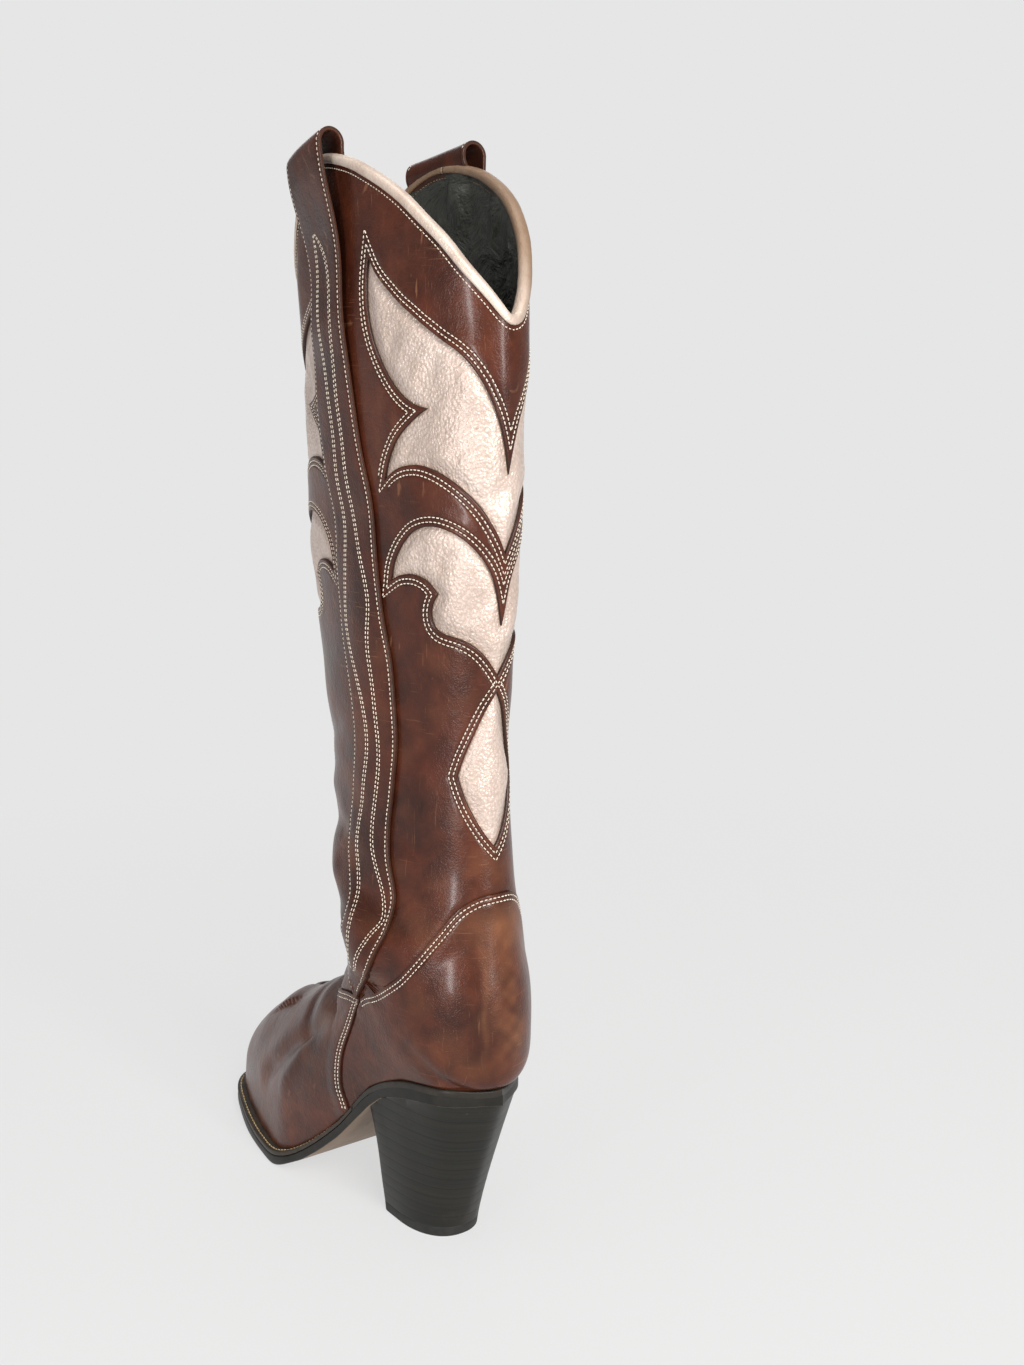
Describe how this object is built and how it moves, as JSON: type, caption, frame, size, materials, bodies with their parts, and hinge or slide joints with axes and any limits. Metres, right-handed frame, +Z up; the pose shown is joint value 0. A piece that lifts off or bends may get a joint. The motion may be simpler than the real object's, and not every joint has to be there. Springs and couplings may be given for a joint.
{
  "type": "cowboy boot",
  "caption": "Knee-high left western boot with pearl leather inlays on brown leather, side pull straps, scalloped top and high slanted stacked heel.",
  "frame": {"origin": "centre of the heel's ground face, on the floor", "axes": "+Z up the shaft, toe towards -Y, outer (lateral) side of the left foot towards +X"},
  "size_m": [0.0854, 0.2596, 0.541],
  "materials": {
    "brown_leather": "pull-up, semi-gloss, scuffed",
    "pearl_leather": "pearl metallic, pebbled",
    "binding_leather": "satin",
    "lining_leather": "matte",
    "fibre_board": "matte",
    "cork": "matte",
    "steel": "satin",
    "welt_leather": "burnished",
    "sole_leather": "burnished edge",
    "heel_stack": "burnished satin",
    "heel_rubber": "matte",
    "thread": "waxed thread"
  },
  "bodies": {
    "foot": {"vamp": "brown_leather", "counter": "brown_leather", "toe_puff": "fibre_board", "heel_stiffener": "fibre_board", "vamp_lining": "lining_leather", "counter_lining": "lining_leather", "insole_board": "fibre_board", "heel_sock_pad": "lining_leather", "cork_filler": "cork", "shank": "steel", "shank_rivets": "steel", "welt": "welt_leather", "heel_rand": "welt_leather", "outsole": "sole_leather", "heel_nails": "steel", "heel_lift_01": "heel_stack", "heel_lift_02": "heel_stack", "heel_lift_03": "heel_stack", "heel_lift_04": "heel_stack", "heel_lift_05": "heel_stack", "heel_lift_06": "heel_stack", "heel_lift_07": "heel_stack", "heel_lift_08": "heel_stack", "heel_lift_09": "heel_stack", "heel_lift_10": "heel_stack", "heel_lift_11": "heel_stack", "heel_lift_12": "heel_stack", "heel_top_lift": "heel_rubber", "top_lift_brads": "steel"},
    "shaft": {"shaft_front_panel": "brown_leather", "shaft_back_panel": "brown_leather", "inlay_front_wing": "pearl_leather", "inlay_front_diamond": "pearl_leather", "inlay_back_wing": "pearl_leather", "inlay_back_diamond": "pearl_leather", "shaft_lining_front": "lining_leather", "shaft_lining_back": "lining_leather", "pull_strap_outer": "brown_leather", "pull_strap_inner": "brown_leather", "top_binding_front": "binding_leather", "top_binding_back": "binding_leather"}
  },
  "joints": [
    {"name": "ankle_flex", "type": "hinge", "parent": "foot", "child": "shaft", "pos_m": [0, -0.01, 0.165], "axis": [1, 0, 0], "range_deg": [-8, 12], "deforming": ["shaft_front_panel", "shaft_back_panel", "shaft_lining_front", "shaft_lining_back", "pull_strap_outer", "pull_strap_inner", "inlay_back_diamond", "inlay_front_diamond"]}
  ]
}
